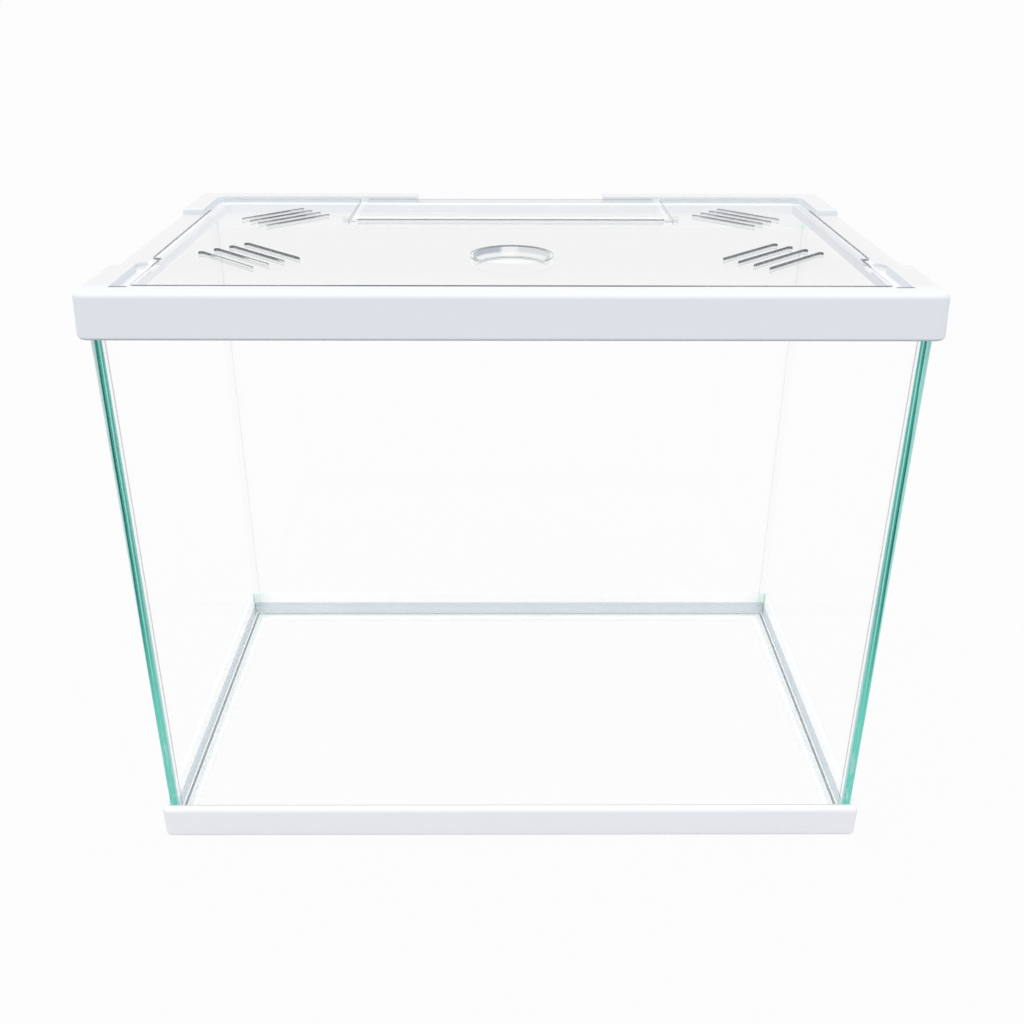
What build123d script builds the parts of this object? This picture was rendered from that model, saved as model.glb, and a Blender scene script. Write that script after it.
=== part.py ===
"""Framed glass fish tank with a clear lift-off lid and a hinged rear flap.

Millimetres. +Z is up, +X is to the right and the front faces -Y.
The origin lies on the ground under the middle of the tank.
"""

import os
from math import sqrt

from build123d import *

# Glass walls and floor
GLASS_WIDTH = 400.0
GLASS_DEPTH = 244.0
GLASS_THICKNESS = 5.0
GLASS_CHAMFER = 0.4

# Silicone
FILM = 0.6
BEAD = 3.0
BASE_BOND_WIDTH = 7.0
BASE_BOND_TOP = 12.5

# Room between the glass and the walls of both frames
FRAME_GAP = 0.3

# Base frame
BASE_OVERHANG = 4.2
BASE_HEIGHT = 21.2
BASE_FLOOR = 3.0
BASE_FLANGE = 8.0
BASE_CORNER_RADIUS = 3.2
BASE_ROUND = 3.0
BASE_FOOT_ROUND = 3.0

# Top frame, whose outside slopes outwards on the way down
TOTAL_HEIGHT = 327.4
RIM_OVERHANG = 5.8
RIM_DRAFT = 3.0
RIM_HEIGHT = 22.4
RIM_CORNER_RADIUS = 6.6
RIM_ROUND = 2.5
RECESS_INSET = 9.5
RAISED_HEIGHT = 4.0
WEB_THICKNESS = 5.0
LEDGE_WIDTH = 6.0
RECESS_RADIUS = 6.0
RECESS_FRONT_RADIUS = 2.0
FRONT_CORNER_LENGTH = 52.0
REAR_CORNER_LENGTH = 49.0
NOTCH_WIDTH = 123.0
RAIL_ROUND = 1.2
CORNER_END_ROUND = 1.5
SKIRT_ROUND = 2.0

# Finger dips in the side rails, beside the ends of the lid's wide part
DIP_DEPTH = 1.6
DIP_REACH = 5.5
DIP_FRONT = -66.0
DIP_REAR = -50.0
DIP_RADIUS = 4.5

# Small upright ribs on the rear ledge, by the cable notch
RIB_PLACES = (31.5, 67.0)
RIB_WIDTH = 1.4
RIB_DEPTH = 1.0

# Lid
LID_THICKNESS = 3.0
LID_SIDE_GAP = 3.2
LID_END_GAP = 1.6
LID_RADIUS = 5.0
LID_WAIST = 4.2
WAIST_LENGTH = 56.0
WAIST_RADIUS = 3.0
LID_ROUND = 0.6

# Vent slots, four groups of four, the rear ones a little shorter
VENT_WIDTH = 3.0
VENT_COUNT = 4
VENT_ANGLE = 45.0
FRONT_VENT_X = 138.8
FRONT_VENT_Y = -45.0
FRONT_VENT_LENGTH = 49.5
FRONT_VENT_PITCH = 9.5
REAR_VENT_X = 136.7
REAR_VENT_Y = 53.8
REAR_VENT_LENGTH = 45.0
REAR_VENT_PITCH = 8.7

# Feed hole with its collar
FEED_Y = -48.0
FEED_RADIUS = 20.2
COLLAR_WALL = 1.8
COLLAR_LIP = 1.2
COLLAR_RISE = 1.0
COLLAR_DROP = 3.0

# Rear flap and its hinge
FLAP_WIDTH = 185.0
FLAP_SLOT = 5.2
HINGE_Y = 49.5
BARREL_RADIUS = 2.5
HINGE_SEAM = 0.8
SLOT_REACH = 2.2
PIN_RADIUS = 1.3
PIN_CLEARANCE = 0.05
SOCKET_LENGTH = 4.0
PIN_END_GAP = 0.5

# Reach of the selectors that pick out edges by their place
NEAR = 0.01

# Levels and sizes that follow
LEDGE_TOP = TOTAL_HEIGHT - RAISED_HEIGHT
WEB_BOTTOM = LEDGE_TOP - WEB_THICKNESS
RIM_BOTTOM = TOTAL_HEIGHT - RIM_HEIGHT
GLASS_BOTTOM = BASE_FLOOR + FILM
GLASS_TOP = WEB_BOTTOM - FILM
GLASS_HEIGHT = GLASS_TOP - GLASS_BOTTOM
FLOOR_TOP = GLASS_BOTTOM + GLASS_THICKNESS
INNER_WIDTH = GLASS_WIDTH - 2 * GLASS_THICKNESS
INNER_DEPTH = GLASS_DEPTH - 2 * GLASS_THICKNESS
SEAT_WIDTH = GLASS_WIDTH + 2 * FRAME_GAP
SEAT_DEPTH = GLASS_DEPTH + 2 * FRAME_GAP
RIM_WIDTH = GLASS_WIDTH + 2 * RIM_OVERHANG
RIM_DEPTH = GLASS_DEPTH + 2 * RIM_OVERHANG
RECESS_WIDTH = GLASS_WIDTH - 2 * RECESS_INSET
RECESS_DEPTH = GLASS_DEPTH - 2 * RECESS_INSET
OPENING_WIDTH = RECESS_WIDTH - 2 * LEDGE_WIDTH
OPENING_DEPTH = RECESS_DEPTH - 2 * LEDGE_WIDTH
BASE_WIDTH = GLASS_WIDTH + 2 * BASE_OVERHANG
BASE_DEPTH = GLASS_DEPTH + 2 * BASE_OVERHANG
LID_WIDTH = RECESS_WIDTH - 2 * LID_SIDE_GAP
LID_DEPTH = RECESS_DEPTH - 2 * LID_END_GAP
HINGE_Z = LEDGE_TOP + LID_THICKNESS / 2
BAY_WIDTH = FLAP_WIDTH + 2 * FLAP_SLOT
BAY_FRONT = HINGE_Y - BARREL_RADIUS - HINGE_SEAM


def export(part, name):
    """Labels a finished piece and writes it to its own file."""
    part.label = name
    export_step(part, f"parts/{name}.step")


def pane(width, depth, height, centre):
    """Returns a pane of glass with ground edges, its middle at centre."""
    with BuildPart() as glass:
        with Locations(centre):
            Box(width, depth, height)
        chamfer(glass.edges(), GLASS_CHAMFER)
    return glass.part


def corner_seal(side_x, side_y):
    """Returns the silicone of one upright joint: the film behind a side pane's edge and the inner bead."""
    corner_x = side_x * INNER_WIDTH / 2
    corner_y = side_y * INNER_DEPTH / 2
    inset = BEAD * (1 - 1 / sqrt(2))
    with BuildPart() as seal:
        with BuildSketch(Plane.XY.offset(GLASS_BOTTOM)):
            with Locations((corner_x + side_x * GLASS_THICKNESS / 2, corner_y - side_y * FILM / 2)):
                Rectangle(GLASS_THICKNESS, FILM)
        extrude(amount=GLASS_HEIGHT)
        with BuildSketch(Plane.XY.offset(FLOOR_TOP + BEAD)):
            with BuildLine():
                along_x = (corner_x - side_x * BEAD, corner_y)
                along_y = (corner_x, corner_y - side_y * BEAD)
                hollow = (corner_x - side_x * inset, corner_y - side_y * inset)
                Line((corner_x, corner_y), along_x)
                ThreePointArc(along_x, hollow, along_y)
                Line(along_y, (corner_x, corner_y))
            make_face()
        extrude(amount=GLASS_TOP - FLOOR_TOP - BEAD)
    return seal.part


def floor_seal(length, distance, turn):
    """Returns the silicone between the floor pane and one wall, mitred where it meets the next one."""
    side = Plane.XY.rotated((0, 0, turn))
    inset = BEAD * (1 - 1 / sqrt(2))
    start = side.from_local_coords(Vector(-length / 2, -distance, 0))
    end = side.from_local_coords(Vector(length / 2, -distance, 0))
    with BuildPart() as seal:
        with BuildSketch(Plane(origin=start, x_dir=side.y_dir, z_dir=side.x_dir)):
            with BuildLine():
                Polyline(
                    (0, FLOOR_TOP + BEAD),
                    (0, GLASS_BOTTOM),
                    (FILM, GLASS_BOTTOM),
                    (FILM, FLOOR_TOP),
                    (BEAD, FLOOR_TOP),
                )
                ThreePointArc((BEAD, FLOOR_TOP), (inset, FLOOR_TOP + inset), (0, FLOOR_TOP + BEAD))
            make_face()
        extrude(amount=length)
        split(bisect_by=Plane(origin=start, z_dir=side.x_dir - side.y_dir), keep=Keep.TOP)
        split(bisect_by=Plane(origin=end, z_dir=-side.x_dir - side.y_dir), keep=Keep.TOP)
    return seal.part


os.makedirs("parts", exist_ok=True)

# Wall panes: the front and rear run full width, the sides stand between them
wall_middle = GLASS_BOTTOM + GLASS_HEIGHT / 2
side_pane_depth = INNER_DEPTH - 2 * FILM
for name, side in (("front_glass", -1), ("rear_glass", 1)):
    place = (0, side * (GLASS_DEPTH - GLASS_THICKNESS) / 2, wall_middle)
    export(pane(GLASS_WIDTH, GLASS_THICKNESS, GLASS_HEIGHT, place), name)
for name, side in (("left_glass", -1), ("right_glass", 1)):
    place = (side * (GLASS_WIDTH - GLASS_THICKNESS) / 2, 0, wall_middle)
    export(pane(GLASS_THICKNESS, side_pane_depth, GLASS_HEIGHT, place), name)

# Floor pane: it lies inside the four walls
floor_place = (0, 0, GLASS_BOTTOM + GLASS_THICKNESS / 2)
export(pane(INNER_WIDTH - 2 * FILM, INNER_DEPTH - 2 * FILM, GLASS_THICKNESS, floor_place), "floor_glass")

# Silicone in the joints between the panes
for name, side_x, side_y in (
    ("front_left_seal", -1, -1),
    ("front_right_seal", 1, -1),
    ("rear_left_seal", -1, 1),
    ("rear_right_seal", 1, 1),
):
    export(corner_seal(side_x, side_y), name)
for name, length, distance, turn in (
    ("front_floor_seal", INNER_WIDTH, INNER_DEPTH / 2, 0),
    ("right_floor_seal", INNER_DEPTH, INNER_WIDTH / 2, 90),
    ("rear_floor_seal", INNER_WIDTH, INNER_DEPTH / 2, 180),
    ("left_floor_seal", INNER_DEPTH, INNER_WIDTH / 2, 270),
):
    export(floor_seal(length, distance, turn), name)

# Silicone that bonds the top frame to the upper edges of the glass
with BuildPart() as top_frame_adhesive:
    with BuildSketch(Plane.XY.offset(GLASS_TOP)):
        Rectangle(GLASS_WIDTH, GLASS_DEPTH)
        Rectangle(INNER_WIDTH, INNER_DEPTH, mode=Mode.SUBTRACT)
    extrude(amount=FILM)
export(top_frame_adhesive.part, "top_frame_adhesive")

# Silicone that bonds the glass into the base frame: it lies under the glass and rises outside it
with BuildPart() as base_frame_adhesive:
    with BuildSketch(Plane.XY.offset(BASE_FLOOR)):
        Rectangle(SEAT_WIDTH, SEAT_DEPTH)
    extrude(amount=BASE_BOND_TOP - BASE_FLOOR)
    with BuildSketch(Plane.XY.offset(GLASS_BOTTOM)):
        Rectangle(GLASS_WIDTH, GLASS_DEPTH)
    extrude(amount=BASE_BOND_TOP, mode=Mode.SUBTRACT)
    with BuildSketch(Plane.XY.offset(BASE_FLOOR)):
        Rectangle(GLASS_WIDTH - 2 * BASE_BOND_WIDTH, GLASS_DEPTH - 2 * BASE_BOND_WIDTH)
    extrude(amount=BASE_BOND_TOP, mode=Mode.SUBTRACT)
export(base_frame_adhesive.part, "base_frame_adhesive")

# Base frame: a low wall round the glass and a flange under it
with BuildPart() as base_frame:
    with BuildSketch():
        RectangleRounded(BASE_WIDTH, BASE_DEPTH, BASE_CORNER_RADIUS)
    extrude(amount=BASE_HEIGHT)
    fillet(base_frame.faces().sort_by(Axis.Z)[-1].edges(), BASE_ROUND)
    fillet(base_frame.faces().sort_by(Axis.Z)[0].edges(), BASE_FOOT_ROUND)
    with BuildSketch(Plane.XY.offset(BASE_FLOOR)):
        Rectangle(SEAT_WIDTH, SEAT_DEPTH)
    extrude(amount=BASE_HEIGHT, mode=Mode.SUBTRACT)
    with BuildSketch():
        Rectangle(GLASS_WIDTH - 2 * BASE_FLANGE, GLASS_DEPTH - 2 * BASE_FLANGE)
    extrude(amount=BASE_HEIGHT, mode=Mode.SUBTRACT)
export(base_frame.part, "base_frame")

# Top frame: a skirt over the glass, a flat web with the lid's ledge, and raised corners and bars
with BuildPart() as top_frame:
    with BuildSketch(Plane.XY.offset(RIM_BOTTOM)):
        RectangleRounded(RIM_WIDTH, RIM_DEPTH, RIM_CORNER_RADIUS)
    extrude(amount=RIM_HEIGHT, taper=RIM_DRAFT)
    fillet(top_frame.faces().sort_by(Axis.Z)[-1].edges(), RIM_ROUND)
    fillet(top_frame.faces().sort_by(Axis.Z)[0].edges(), SKIRT_ROUND)
    # Space for the glass
    with BuildSketch(Plane.XY.offset(RIM_BOTTOM)):
        Rectangle(SEAT_WIDTH, SEAT_DEPTH)
    extrude(amount=WEB_BOTTOM - RIM_BOTTOM, mode=Mode.SUBTRACT)
    # Opening of the tank
    with BuildSketch(Plane.XY.offset(WEB_BOTTOM)):
        RectangleRounded(OPENING_WIDTH, OPENING_DEPTH, RECESS_RADIUS)
    extrude(amount=WEB_THICKNESS, mode=Mode.SUBTRACT)
    # Recess between the raised corners and bars
    with BuildSketch(Plane.XY.offset(LEDGE_TOP)):
        RectangleRounded(RECESS_WIDTH, RECESS_DEPTH, RECESS_RADIUS)
        with Locations((0, -RECESS_DEPTH / 4)):
            RectangleRounded(RECESS_WIDTH, RECESS_DEPTH / 2, RECESS_FRONT_RADIUS)
    extrude(amount=RAISED_HEIGHT, mode=Mode.SUBTRACT)
    # Low side rails and the cable notch at the rear
    low_front = -GLASS_DEPTH / 2 + FRONT_CORNER_LENGTH
    low_rear = GLASS_DEPTH / 2 - REAR_CORNER_LENGTH
    with BuildSketch(Plane.XY.offset(LEDGE_TOP)):
        with Locations((0, (low_front + low_rear) / 2)):
            Rectangle(RIM_WIDTH, low_rear - low_front)
        with Locations((0, RIM_DEPTH / 2)):
            Rectangle(NOTCH_WIDTH, RIM_DEPTH - RECESS_DEPTH + RECESS_INSET)
    extrude(amount=RAISED_HEIGHT, mode=Mode.SUBTRACT)
    # Soft ends on the raised corners and soft outer edges on the low rails
    for end_y in (low_front, low_rear):
        end_edges = top_frame.edges().filter_by_position(Axis.Y, end_y - NEAR, end_y + NEAR)
        raised_edges = end_edges.filter_by_position(Axis.Z, LEDGE_TOP + NEAR, TOTAL_HEIGHT + NEAR)
        fillet(raised_edges, CORNER_END_ROUND)
    low_edges = top_frame.edges().filter_by_position(Axis.Z, LEDGE_TOP - NEAR, LEDGE_TOP + NEAR)
    fillet(low_edges.filter_by(Axis.Y).group_by(Axis.X)[0], RAIL_ROUND)
    fillet(low_edges.filter_by(Axis.Y).group_by(Axis.X)[-1], RAIL_ROUND)
    fillet(low_edges.filter_by(Axis.X).group_by(Axis.Y)[-1], RAIL_ROUND)
    # Finger dips, each open towards the inside of the tank
    dip_width = 2 * (LEDGE_WIDTH + DIP_REACH)
    with BuildSketch(Plane.XY.offset(LEDGE_TOP)):
        for side in (-1, 1):
            with Locations((side * OPENING_WIDTH / 2, (DIP_FRONT + DIP_REAR) / 2)):
                RectangleRounded(dip_width, DIP_REAR - DIP_FRONT, DIP_RADIUS)
    extrude(amount=-DIP_DEPTH, mode=Mode.SUBTRACT)
    # Small ribs on the rear ledge
    with BuildSketch(Plane.XY.offset(WEB_BOTTOM)):
        for place in RIB_PLACES:
            with Locations((-place, OPENING_DEPTH / 2), (place, OPENING_DEPTH / 2)):
                Rectangle(RIB_WIDTH, 2 * RIB_DEPTH)
    extrude(amount=WEB_THICKNESS)
export(top_frame.part, "top_frame")

# Lid: a clear plate with vents, a feed hole and a bay for the flap
with BuildPart() as lid:
    # The front part is narrower, which leaves room for fingers on both sides
    with BuildSketch(Plane.XY.offset(LEDGE_TOP)):
        RectangleRounded(LID_WIDTH - 2 * LID_WAIST, LID_DEPTH, LID_RADIUS)
        with Locations((0, WAIST_LENGTH / 2)):
            RectangleRounded(LID_WIDTH, LID_DEPTH - WAIST_LENGTH, WAIST_RADIUS)
    extrude(amount=LID_THICKNESS)
    fillet(lid.faces().sort_by(Axis.Z)[-1].edges(), LID_ROUND)
    # Bay for the flap, with a round-ended slot along each of its sides
    with BuildSketch(Plane.XY.offset(LEDGE_TOP)):
        with Locations((0, BAY_FRONT)):
            Rectangle(BAY_WIDTH, LID_DEPTH, align=(Align.CENTER, Align.MIN))
        for side in (-1, 1):
            with Locations((side * (FLAP_WIDTH + FLAP_SLOT) / 2, BAY_FRONT)):
                SlotOverall(2 * SLOT_REACH + FLAP_SLOT, FLAP_SLOT, rotation=90)
    extrude(amount=LID_THICKNESS, mode=Mode.SUBTRACT)
    # Vent slots
    with BuildSketch(Plane.XY.offset(LEDGE_TOP)):
        for side in (-1, 1):
            for end, group_x, group_y, length, pitch in (
                (-1, FRONT_VENT_X, FRONT_VENT_Y, FRONT_VENT_LENGTH, FRONT_VENT_PITCH),
                (1, REAR_VENT_X, REAR_VENT_Y, REAR_VENT_LENGTH, REAR_VENT_PITCH),
            ):
                turn = -side * end * VENT_ANGLE
                with Locations(Location((side * group_x, group_y, 0), (0, 0, turn))):
                    with GridLocations(1, pitch, 1, VENT_COUNT):
                        SlotOverall(length, VENT_WIDTH)
    extrude(amount=LID_THICKNESS, mode=Mode.SUBTRACT)
    # Collar of the feed hole
    collar_bottom = LEDGE_TOP - COLLAR_DROP
    collar_top = LEDGE_TOP + LID_THICKNESS + COLLAR_RISE
    with BuildSketch(Plane.XY.offset(collar_bottom)):
        with Locations((0, FEED_Y)):
            Circle(FEED_RADIUS + COLLAR_WALL)
    extrude(amount=collar_top - collar_bottom)
    with BuildSketch(Plane.XY.offset(collar_bottom + COLLAR_LIP)):
        with Locations((0, FEED_Y)):
            Circle(FEED_RADIUS)
    extrude(amount=collar_top - collar_bottom, mode=Mode.SUBTRACT)
    with BuildSketch(Plane.XY.offset(collar_bottom)):
        with Locations((0, FEED_Y)):
            Circle(FEED_RADIUS - COLLAR_LIP)
    extrude(amount=collar_top - collar_bottom, mode=Mode.SUBTRACT)
    # Sockets for the flap's pins
    for side in (-1, 1):
        socket = Plane(origin=(side * BAY_WIDTH / 2, HINGE_Y, HINGE_Z), x_dir=(0, 1, 0), z_dir=(side, 0, 0))
        with BuildSketch(socket):
            Circle(BARREL_RADIUS)
        extrude(amount=SOCKET_LENGTH)
        with BuildSketch(socket):
            Circle(PIN_RADIUS + PIN_CLEARANCE)
        extrude(amount=SOCKET_LENGTH, mode=Mode.SUBTRACT)
export(lid.part, "lid")

# Rear flap: a clear plate with a barrel along its front edge and a stub pin at each end
with BuildPart() as rear_flap:
    flap_depth = LID_DEPTH / 2 - HINGE_Y
    with BuildSketch(Plane.XY.offset(LEDGE_TOP)):
        with Locations((0, HINGE_Y)):
            Rectangle(FLAP_WIDTH, flap_depth, align=(Align.CENTER, Align.MIN))
    extrude(amount=LID_THICKNESS)
    with BuildSketch(Plane.YZ.offset(-FLAP_WIDTH / 2)):
        with Locations((HINGE_Y, HINGE_Z)):
            Circle(BARREL_RADIUS)
    extrude(amount=FLAP_WIDTH)
    pin_span = BAY_WIDTH + 2 * (SOCKET_LENGTH - PIN_END_GAP)
    with BuildSketch(Plane.YZ.offset(-pin_span / 2)):
        with Locations((HINGE_Y, HINGE_Z)):
            Circle(PIN_RADIUS)
    extrude(amount=pin_span)
export(rear_flap.part, "rear_flap")
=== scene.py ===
"""Small framed glass fish tank with a clear lid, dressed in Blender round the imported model.

Blender works in metres and the sizes here are in millimetres, so a size is multiplied by MM where it is
used. +Z is up, the front faces -Y and the origin lies on the ground under the middle of the tank.
"""

from __future__ import annotations

import logging
import math
from dataclasses import dataclass
from enum import Enum

import bmesh
import bpy
from mathutils import Matrix, Vector

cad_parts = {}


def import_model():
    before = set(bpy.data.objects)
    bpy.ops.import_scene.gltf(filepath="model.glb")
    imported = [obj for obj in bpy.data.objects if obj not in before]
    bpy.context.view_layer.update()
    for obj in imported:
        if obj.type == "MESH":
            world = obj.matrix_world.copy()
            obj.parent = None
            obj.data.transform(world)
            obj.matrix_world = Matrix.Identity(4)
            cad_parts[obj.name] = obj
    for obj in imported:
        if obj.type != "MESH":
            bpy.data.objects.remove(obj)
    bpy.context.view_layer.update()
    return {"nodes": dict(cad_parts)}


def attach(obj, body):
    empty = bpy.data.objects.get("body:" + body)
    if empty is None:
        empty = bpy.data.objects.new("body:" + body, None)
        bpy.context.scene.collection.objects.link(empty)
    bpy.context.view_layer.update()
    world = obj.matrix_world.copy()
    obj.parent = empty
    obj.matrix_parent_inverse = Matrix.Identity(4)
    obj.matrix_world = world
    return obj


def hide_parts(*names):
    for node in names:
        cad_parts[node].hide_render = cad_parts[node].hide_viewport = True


MM = 0.001

# Height of the ledge that the lid rests on, and how near two places count as one, in millimetres
LEDGE_TOP = 323.4
NEAR = 0.01

# How strongly each material bends light
PLASTIC_IOR = 1.49
GLASS_IOR = 1.52
SILICONE_IOR = 1.41

Colour = tuple[float, float, float]

WHITE: Colour = (1.0, 1.0, 1.0)
BLACK: Colour = (0.0, 0.0, 0.0)

log = logging.getLogger("fish_tank")


class Body(Enum):
    """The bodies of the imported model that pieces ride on."""

    TANK = "tank"
    LID = "lid"
    FLAP = "rear_flap"


class Slot(Enum):
    """The material slots that the new pieces carry; their finish comes from the material that they are given."""

    SILICONE = "silicone"
    WHITE_PLASTIC = "white_plastic"
    CLEAR_PLASTIC = "clear_plastic"


class Signal:
    """The output of a shader node, used in Python expressions: each operator adds a Math node."""

    def __init__(self, graph: "Graph", socket: bpy.types.NodeSocket) -> None:
        """Keeps the output socket and the graph that it belongs to."""
        self.graph = graph
        self.socket = socket

    def maths(self, operation: str, *others: "Feed") -> "Signal":
        """Adds a Math node with this signal as its first value and returns its result."""
        return self.graph.maths(operation, self, *others)

    def __add__(self, other: "Feed") -> "Signal":
        """Returns self + other."""
        return self.maths("ADD", other)

    def __radd__(self, other: float) -> "Signal":
        """Returns other + self."""
        return self.maths("ADD", other)

    def __sub__(self, other: "Feed") -> "Signal":
        """Returns self - other."""
        return self.maths("SUBTRACT", other)

    def __rsub__(self, other: float) -> "Signal":
        """Returns other - self."""
        return self.graph.maths("SUBTRACT", other, self)

    def __mul__(self, other: "Feed") -> "Signal":
        """Returns self * other."""
        return self.maths("MULTIPLY", other)

    def __rmul__(self, other: float) -> "Signal":
        """Returns other * self."""
        return self.maths("MULTIPLY", other)

    def __truediv__(self, other: "Feed") -> "Signal":
        """Returns self / other."""
        return self.maths("DIVIDE", other)

    def __gt__(self, other: "Feed") -> "Signal":
        """Returns 1 where self is above other and 0 elsewhere."""
        return self.maths("GREATER_THAN", other)

    def __lt__(self, other: "Feed") -> "Signal":
        """Returns 1 where self is below other and 0 elsewhere."""
        return self.maths("LESS_THAN", other)

    def __abs__(self) -> "Signal":
        """Returns the signal without its sign."""
        return self.maths("ABSOLUTE")

    def sign(self) -> "Signal":
        """Returns -1, 0 or 1."""
        return self.maths("SIGN")

    def largest(self, other: "Feed") -> "Signal":
        """Returns the larger of self and other."""
        return self.maths("MAXIMUM", other)

    def smallest(self, other: "Feed") -> "Signal":
        """Returns the smaller of self and other."""
        return self.maths("MINIMUM", other)

    def step(self, low: float, high: float) -> "Signal":
        """Returns a smooth step from 0 at low to 1 at high, which may be below low."""
        settings = {"interpolation_type": "SMOOTHSTEP"}
        return self.graph.add("ShaderNodeMapRange", settings, {"Value": self, "From Min": low, "From Max": high})

    def band(self, low: float, high: float, soft: float) -> "Signal":
        """Returns 1 between low and high and 0 outside, with edges that are soft wide."""
        return self.step(low - soft / 2, low + soft / 2) * self.step(high + soft / 2, high - soft / 2)


Feed = Signal | float | tuple


class Graph:
    """A node tree that is built from Python expressions."""

    def __init__(self, tree: bpy.types.NodeTree) -> None:
        """Starts from an empty tree."""
        self.tree = tree
        tree.nodes.clear()

    def node(self, kind: str, settings: dict[str, object], sockets: dict[str | int, Feed]) -> bpy.types.Node:
        """Adds a node.

        Args:
            kind: The node's type.
            settings: Its properties, set first. A colour ramp's stops are a list of position and colour.
            sockets: The value or the signal of each input, by name or number.

        Returns:
            The new node.
        """
        node = self.tree.nodes.new(kind)
        for name, value in settings.items():
            if name == "stops":
                self._set_stops(node.color_ramp, value)
            else:
                setattr(node, name, value)
        for key, feed in sockets.items():
            if isinstance(feed, Signal):
                self.tree.links.new(feed.socket, node.inputs[key])
            else:
                node.inputs[key].default_value = feed
        return node

    @staticmethod
    def _set_stops(ramp: bpy.types.ColorRamp, stops: list[tuple[float, Colour]]) -> None:
        """Gives a colour ramp its stops.

        Args:
            ramp: The ramp.
            stops: Place and colour of each stop, from 0 to 1.
        """
        while len(ramp.elements) > 1:
            ramp.elements.remove(ramp.elements[0])
        ramp.elements[0].position = stops[0][0]
        for place, _ in stops[1:]:
            ramp.elements.new(place)
        for element, (_, colour) in zip(ramp.elements, stops):
            element.color = (*colour, 1.0)

    def add(
        self, kind: str, settings: dict[str, object], sockets: dict[str | int, Feed], output: str | int = 0
    ) -> Signal:
        """Adds a node as node() does and returns one of its outputs."""
        return Signal(self, self.node(kind, settings, sockets).outputs[output])

    def maths(self, operation: str, *values: Feed) -> Signal:
        """Adds a Math node and returns its result."""
        return self.add("ShaderNodeMath", {"operation": operation}, dict(enumerate(values)))

    def mix(self, factor: Feed, first: Feed, second: Feed) -> Signal:
        """Mixes two colours of three numbers or signals: a factor of 0 gives the first and 1 the second."""
        first, second = (feed if isinstance(feed, Signal) else (*feed, 1.0) for feed in (first, second))
        return self.add("ShaderNodeMix", {"data_type": "RGBA"}, {0: factor, 6: first, 7: second}, 2)

    def ramp(self, value: Signal, stops: list[tuple[float, Colour]]) -> Signal:
        """Returns the colour that the stops give for a value between 0 and 1."""
        return self.add("ShaderNodeValToRGB", {"stops": stops}, {0: value})

    def place(self) -> tuple[Signal, Signal, Signal]:
        """Returns the three Object coordinates in millimetres.

        Returns:
            X, Y and Z.
        """
        point = self.add("ShaderNodeTexCoord", {}, {}, "Object")
        scaled = self.add("ShaderNodeVectorMath", {"operation": "SCALE"}, {"Vector": point, "Scale": 1 / MM})
        return self._parts(scaled)

    def facing(self) -> tuple[Signal, Signal, Signal]:
        """Returns how far a face looks along the piece's own X, Y and Z, without the sign."""
        x, y, z = self._parts(self.add("ShaderNodeTexCoord", {}, {}, "Normal"))
        return abs(x), abs(y), abs(z)

    def _parts(self, vector: Signal) -> tuple[Signal, Signal, Signal]:
        """Splits a vector into its X, Y and Z."""
        split = self.node("ShaderNodeSeparateXYZ", {}, {"Vector": vector})
        return tuple(Signal(self, output) for output in split.outputs)

    def behind(self) -> Signal:
        """Returns 1 where a face is seen from its back and 0 elsewhere."""
        return self.add("ShaderNodeNewGeometry", {}, {}, "Backfacing")

    def noise(self, size: float, detail: float, stretch: tuple[float, float, float] = (1.0, 1.0, 1.0)) -> Signal:
        """Returns noise between 0 and 1.

        Args:
            size: Size of its grains in millimetres.
            detail: Number of finer layers.
            stretch: How many times longer the grains are along X, Y and Z.

        Returns:
            The noise.
        """
        point = self.add("ShaderNodeTexCoord", {}, {}, "Object")
        scale = tuple(1 / (size * MM * longer) for longer in stretch)
        scaled = self.add("ShaderNodeVectorMath", {"operation": "MULTIPLY"}, {0: point, 1: scale})
        return self.add("ShaderNodeTexNoise", {}, {"Vector": scaled, "Scale": 1.0, "Detail": detail})

    def mirror(self, head_on: float, cap: float) -> Signal:
        """Returns the share that a smooth clear face mirrors, from head_on up to cap at a slant."""
        slant = self.add("ShaderNodeLayerWeight", {}, {"Blend": 0.5}, "Facing")
        return (head_on + (1.0 - head_on) * slant.maths("POWER", 5.0)).smallest(cap)

    def bump(self, height: Signal, strength: float, distance: float) -> Signal:
        """Returns a normal that is bent by a height; distance is in millimetres."""
        sockets = {"Height": height, "Strength": strength, "Distance": distance * MM}
        return self.add("ShaderNodeBump", {}, sockets)

    def finish(self, kind: str, shader: Signal) -> None:
        """Links a shader to the tree's output node, whose type is kind."""
        self.node(kind, {}, {"Surface": shader})

    def surface(self, sockets: dict[str | int, Feed]) -> None:
        """Gives a material its Principled shader with these inputs."""
        self.finish("ShaderNodeOutputMaterial", self.add("ShaderNodeBsdfPrincipled", {}, sockets))


def new_material(name: str) -> tuple[bpy.types.Material, Graph]:
    """Makes an empty node material and its graph.

    Args:
        name: The material's name.

    Returns:
        The material and the graph that builds its nodes.
    """
    material = bpy.data.materials.new(name)
    material.use_nodes = True
    return material, Graph(material.node_tree)


def shaded(colour: Colour, share: float) -> Colour:
    """Returns a colour that is darkened to a share of itself."""
    return tuple(part * share for part in colour)


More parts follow.
